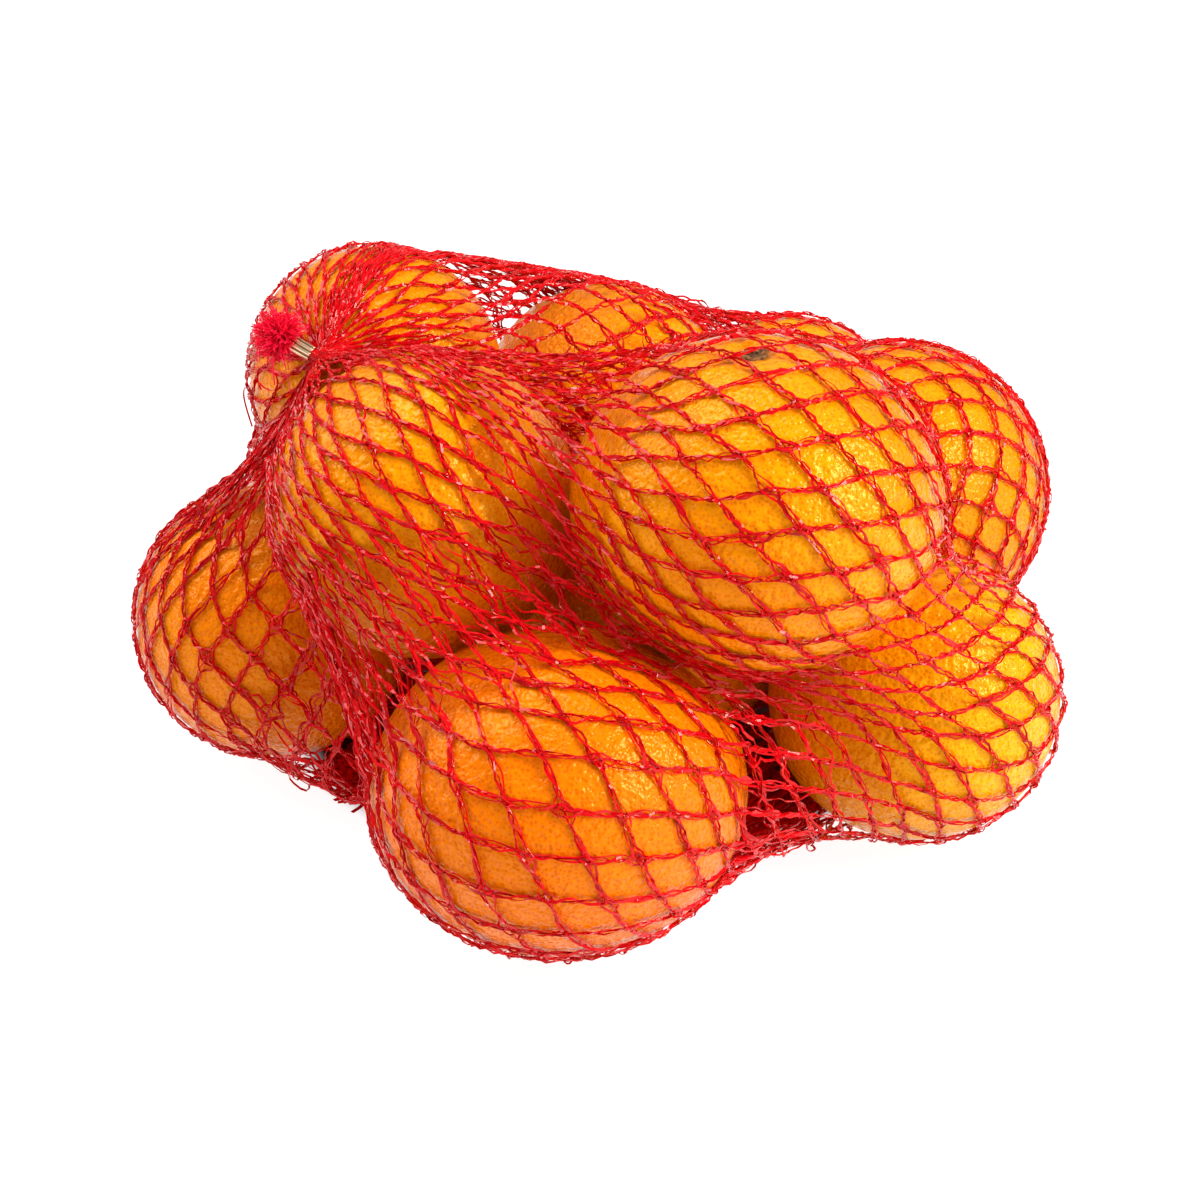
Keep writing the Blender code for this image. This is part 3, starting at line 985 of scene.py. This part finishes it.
turned = np.stack(
    [
        reach_out[:, 0] * np.cos(spin) - reach_out[:, 1] * np.sin(spin),
        reach_out[:, 0] * np.sin(spin) + reach_out[:, 1] * np.cos(spin),
        chance.normal(0, 0.5, len(halfway)),
    ],
    axis=1,
)
# far enough in that neither end of a copy reaches out past its strand's own middle
shift = np.maximum(shift, 1.2 + np.abs((turned * inwards).sum(1)))
halfway = halfway + inwards * shift[:, None]
steps = np.linspace(-1, 1, 5)
folds = halfway[:, None] + turned[:, None] * steps[None, :, None]
height = chance.uniform(*FOLD_HEIGHTS, (len(folds), 1))
folds[..., 2] = height + chance.normal(0, 0.25, folds.shape[:2])
folds = clear_of_fruit(folds)
flat = np.stack([-turned[:, 1], turned[:, 0], 0 * spin], axis=1)[:, None] + 0 * folds
shades = chance.random(len(folds))
net_pieces.append(lay_tapes("net_folds", folds, flat, FOLD_WIDTH, TAPE_THICKNESS, shades))

# %% [markdown]
# ## Film yarn
#
# The yarn is slit from red plastic film: glossy, with fine lines drawn along it. It glints
# white wherever a twisted tape faces a lamp. A saturated red with a slight change from thread
# to thread and a low roughness give both. The change is an attribute of the mesh, one value
# for each tape.

# %% Yarn material
yarn, shader, add, join = new_material("red_film_yarn")
place = add("ShaderNodeTexCoord")
shade_value = add("ShaderNodeAttribute", attribute_name="shade")
streaks = add_noise(add, join, place, Scale=900.0, Detail=2.0)
mixed = add("ShaderNodeMath", operation="ADD")
join(shade_value.outputs["Fac"], mixed.inputs[0])
join(streaks.outputs["Fac"], mixed.inputs[1])
dark_red, bright_red = (0.4, 0.0006, 0.002), (0.7, 0.002, 0.006)
reds = add_ramp(add, join, mixed.outputs[0], (0.35, dark_red), (1.0, bright_red))
join(reds.outputs["Color"], shader.inputs["Base Color"])
add_bump(add, join, shader, streaks.outputs["Fac"], Strength=0.3, Distance=0.0001)
set_values(shader, Roughness=0.07, Specular_IOR_Level=0.28, Specular_Tint=(1.0, 0.82, 0.74, 1))
for piece in net_pieces:
    piece.data.materials.append(yarn)

# %% [markdown]
# ## Necks and tufts
#
# At each clip all the strands are squeezed through one small bore. Short lengths of tape carry
# them from the last row of knots into the clip. Behind it the cut ends spring open into a fuzzy
# ball: each thread leaves the bore straight and then curls off to its own side. The frayed ends
# look lighter and pinker than the net, so they get a brighter, pinker copy of its finish: painted
# light that lifts the shade inside the ball.

# %% Lay the necks and tufts
TUFT_THREADS = 800
TUFT_RADIUS = 6.0
TUFT_BACK = 2.8
# the shortest and longest thread, as shares of the radius, and the narrowest and widest
TUFT_LENGTHS = (0.62, 1.1)
TUFT_WIDTHS = (0.2, 0.44)
TUFT_THICKNESS = 0.1
TUFT_CURL = 1.8
TUFT_HANGING = 10
THREAD_RINGS = 7
NECK_WIDTH = 0.7
NECK_THICKNESS = 0.2
NECK_LENGTH = 3.0
NECK_CLOSING = 0.35


def bent(points, samples):
    """Bezier curves from four control points each, (thread, 4, xyz)."""
    t = np.linspace(0, 1, samples)[None, :, None]
    a, b, c, d = (points[:, k, None] for k in range(4))
    return a * (1 - t) ** 3 + 3 * b * t * (1 - t) ** 2 + 3 * c * t**2 * (1 - t) + d * t**3


def any_direction(count):
    """Random directions, evenly spread."""
    return unit(chance.standard_normal((count, 3)))


tuft_yarn_painted_light = yarn.copy()
tuft_yarn_painted_light.name = "red_tuft_yarn"
ramp = [node for node in tuft_yarn_painted_light.node_tree.nodes if node.type == "VALTORGB"][0].color_ramp
# painted light: the tuft's copy of the yarn is brighter and pinker than the net's
ramp.elements[0].color = (0.62, 0.001, 0.02, 1)
ramp.elements[1].color = (0.95, 0.012, 0.06, 1)

tuft_pieces = {}
for name, (place, way) in CLIPS.items():
    place, way = np.array(place), np.array(way)
    ending = "" if name == "clip" else "_far"
    # into the clip
    first = knot_rows[0] if name == "clip" else knot_rows[-1]
    away = first - necks[name]
    steps = np.linspace(0, 1, 5)[None, :, None]
    paths = necks[name] + away[:, None] * (1 - NECK_CLOSING * steps) + way * steps * NECK_LENGTH
    across = np.cross(way, away)[:, None] + 0 * paths
    shades = chance.random(len(paths))
    piece = lay_tapes("net_neck" + ending, paths, across, NECK_WIDTH, NECK_THICKNESS, shades)
    piece.data.materials.append(yarn)
    net_pieces.append(piece)
    # the tuft
    begin = place + way * (CLIP_LENGTH / 2 - 0.4)
    heart = place + way * (CLIP_LENGTH / 2 + TUFT_BACK)
    spray = any_direction(TUFT_THREADS * 3)
    spray = spray[(spray @ way) > -0.75][:TUFT_THREADS]
    n = len(spray)
    bore = unit(np.cross(any_direction(n), way)) * np.sqrt(chance.random(n))[:, None]
    tip = heart + spray * (TUFT_RADIUS * chance.uniform(*TUFT_LENGTHS, n))[:, None]
    guide = begin + bore + way * chance.uniform(1.2, 3.5, n)[:, None]
    shoulder = heart + spray * (TUFT_RADIUS * 0.5) + any_direction(n) * TUFT_CURL
    controls = np.stack([begin + bore, guide, shoulder, tip], axis=1)
    # a few of them hang down
    drop = np.zeros((TUFT_HANGING, 3))
    drop[:, 2] = -chance.uniform(6.0, 9.5, TUFT_HANGING)
    hang_side = any_direction(TUFT_HANGING) * 2.5
    hang_from = heart + way * 1.0 + hang_side
    hang_bend = hang_from + 0.5 * drop + hang_side
    hang_end = hang_from + drop + hang_side
    hanging = [begin + 0 * drop, hang_from + way * 2.0, hang_bend, hang_end]
    controls = np.concatenate([controls, np.stack(hanging, axis=1)])
    n = len(controls)
    paths = bent(controls, THREAD_RINGS)
    paths = keep_outside(paths.reshape(-1, 3), 0.2, 0.3).reshape(paths.shape)
    width = chance.uniform(*TUFT_WIDTHS, n)[:, None]
    across = any_direction(n)[:, None] + 0 * paths
    # high values keep most threads at the bright end of the ramp, more painted light
    shades = chance.uniform(0.5, 1.3, n)
    piece = lay_tapes("tuft" + ending, paths, across, width, TUFT_THICKNESS, shades)
    piece.data.materials.append(tuft_yarn_painted_light)
    tuft_pieces[name] = piece

# %% [markdown]
# ## Loose threads
#
# Two threads have come loose near the clip: one lies in a loop on the fruit behind it, and one
# stands off the outline. The loop is two curves and the other thread is one. Each curve is given
# by four ways out of that fruit's middle.

# %% Lay the loose threads
LOOSE_ON = "top_back"
LOOSE_WIDTH = 0.4
LOOSE_RINGS = 10
# how far off the skin a thread lies, and four ways out of the fruit's middle
LOOSE_THREADS = (
    (1.0, (-0.71, -0.62, 0.33), (-0.56, -0.75, 0.28), (-0.66, -0.78, 0.1), (-0.81, -0.56, 0.17)),
    (1.0, (-0.71, -0.62, 0.33), (-0.84, -0.5, 0.3), (-0.86, -0.5, 0.2), (-0.78, -0.6, 0.13)),
    (2.0, (-0.91, -0.42, 0.07), (-0.97, -0.22, -0.05), (-1.0, -0.2, -0.15), (-0.93, -0.32, -0.3)),
)
middle, radius, _, _ = ORANGES[LOOSE_ON]
controls = [
    [middle + Vector(way).normalized() * (radius + lift) for way in ways_out]
    for lift, *ways_out in LOOSE_THREADS
]
curves = bent(np.array(controls), LOOSE_RINGS)
across = smooth_outward(curves) + 0.5 * any_direction(len(curves))[:, None]
shades = np.ones(len(curves))
piece = lay_tapes("loose_threads", curves, across, LOOSE_WIDTH, TAPE_THICKNESS, shades)
piece.data.materials.append(yarn)
net_pieces.append(piece)

# %% [markdown]
# ## The clips
#
# Each clip is a strip of soft metal, rolled round the gathered net and pressed shut, which
# leaves ridges along it. A cylinder with many sides is squeezed into an oval and its wall
# pushed in along the grooves; then the rims are bevelled and a bore is cut by insetting and
# bridging the ends. How deep each point lies in its groove is kept as an attribute, so that
# the finish can paint shade into the grooves and the bore.

# %% Model the clips
CLIP_WIDTH = 3.5
CLIP_HEIGHT = 3.1
CLIP_BORE = 1.1
CLIP_SIDES = 160
CLIP_GROOVES = 8
GROOVE_DEPTH = 0.28
CLIP_EDGE = 0.16
CLIP_LIP = 0.1

clip_pieces = {}
for name, (place, way) in CLIPS.items():
    bm = bmesh.new()
    groove = bm.verts.layers.float.new("groove")
    wall = bmesh.ops.create_cone(
        bm, cap_ends=True, segments=CLIP_SIDES, radius1=1.0, radius2=1.0, depth=CLIP_LENGTH
    )["verts"]
    for vert in wall:
        angle = math.atan2(vert.co.y, vert.co.x)
        # how deep a point lies in its groove, which the finish turns into painted shade
        vert[groove] = (0.5 - 0.5 * math.cos(CLIP_GROOVES * angle)) ** 2
        vert.co.x *= CLIP_WIDTH / 2 - GROOVE_DEPTH * vert[groove]
        vert.co.y *= CLIP_HEIGHT / 2 - GROOVE_DEPTH * vert[groove]
    ends_of_clip = [face for face in bm.faces if len(face.verts) == CLIP_SIDES]
    rims = [edge for face in ends_of_clip for edge in face.edges]
    bmesh.ops.bevel(
        bm, geom=rims, offset=CLIP_EDGE, segments=2, profile=0.5, affect="EDGES", material=-1
    )
    ends_of_clip = [face for face in bm.faces if len(face.verts) == CLIP_SIDES]
    bmesh.ops.inset_region(bm, faces=ends_of_clip, thickness=CLIP_LIP, use_even_offset=True)
    # the bore's lip counts as deep in a groove, so the bore gets painted shade too
    for vert in {vert for face in ends_of_clip for vert in face.verts}:
        vert.co.xy = vert.co.xy.normalized() * CLIP_BORE
        vert[groove] = 0.6
    bmesh.ops.delete(bm, geom=ends_of_clip, context="FACES")
    bmesh.ops.bridge_loops(bm, edges=[edge for edge in bm.edges if edge.is_boundary])
    upright = Vector((0, 0, 1)).rotation_difference(way).to_matrix().to_4x4()
    bmesh.ops.transform(bm, matrix=Matrix.Translation(place) @ upright, verts=bm.verts)
    bmesh.ops.scale(bm, vec=(MM, MM, MM), verts=bm.verts)
    bmesh.ops.recalc_face_normals(bm, faces=bm.faces)
    piece = add_piece("pressed_" + name, bm)
    piece.data.shade_smooth()
    piece.data.set_sharp_from_angle(angle=math.radians(40))
    clip_pieces[name] = piece
    print(name, len(piece.data.polygons), "faces")

# %% Brass material
brass, shader, add, join = new_material("pressed_brass")
groove_value = add("ShaderNodeAttribute", attribute_name="groove")
place = add("ShaderNodeTexCoord")
grain = add_noise(add, join, place, Scale=1500.0, Detail=3.0, Roughness=0.6)
grain_and_groove_shade = add("ShaderNodeMath", operation="MULTIPLY_ADD")
join(grain.outputs["Fac"], grain_and_groove_shade.inputs[0])
grain_and_groove_shade.inputs[1].default_value = 0.3
join(groove_value.outputs["Fac"], grain_and_groove_shade.inputs[2])
# painted shade: deep in the grooves and in the bore the brass turns dark brown; the grain varies it
# a little
clean_brass, painted_shade_brass = (1.0, 0.73, 0.48), (0.32, 0.15, 0.06)
golds = add_ramp(add, join, grain_and_groove_shade.outputs[0], (0.25, clean_brass), (0.95, painted_shade_brass))
join(golds.outputs["Color"], shader.inputs["Base Color"])
add_bump(add, join, shader, grain.outputs["Fac"], Strength=0.35, Distance=0.00008)
set_values(shader, Metallic=1.0, Roughness=0.27)
for piece in clip_pieces.values():
    piece.data.materials.append(brass)

# %% [markdown]
# ## Fasten everything to the frame
#
# Every piece rides on the model's one body, takes its finish from a named slot, and stands for
# the CAD solid that it replaces.

# %% Fasten and finish
for piece in [oranges_piece, buttons_piece, *net_pieces]:
    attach(piece, "root")
    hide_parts("net_bag")
for name, piece in tuft_pieces.items():
    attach(piece, "root")
    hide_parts("net_tuft" if name == "clip" else "net_tuft_far")
for name, piece in clip_pieces.items():
    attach(piece, "root")
    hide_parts(name)
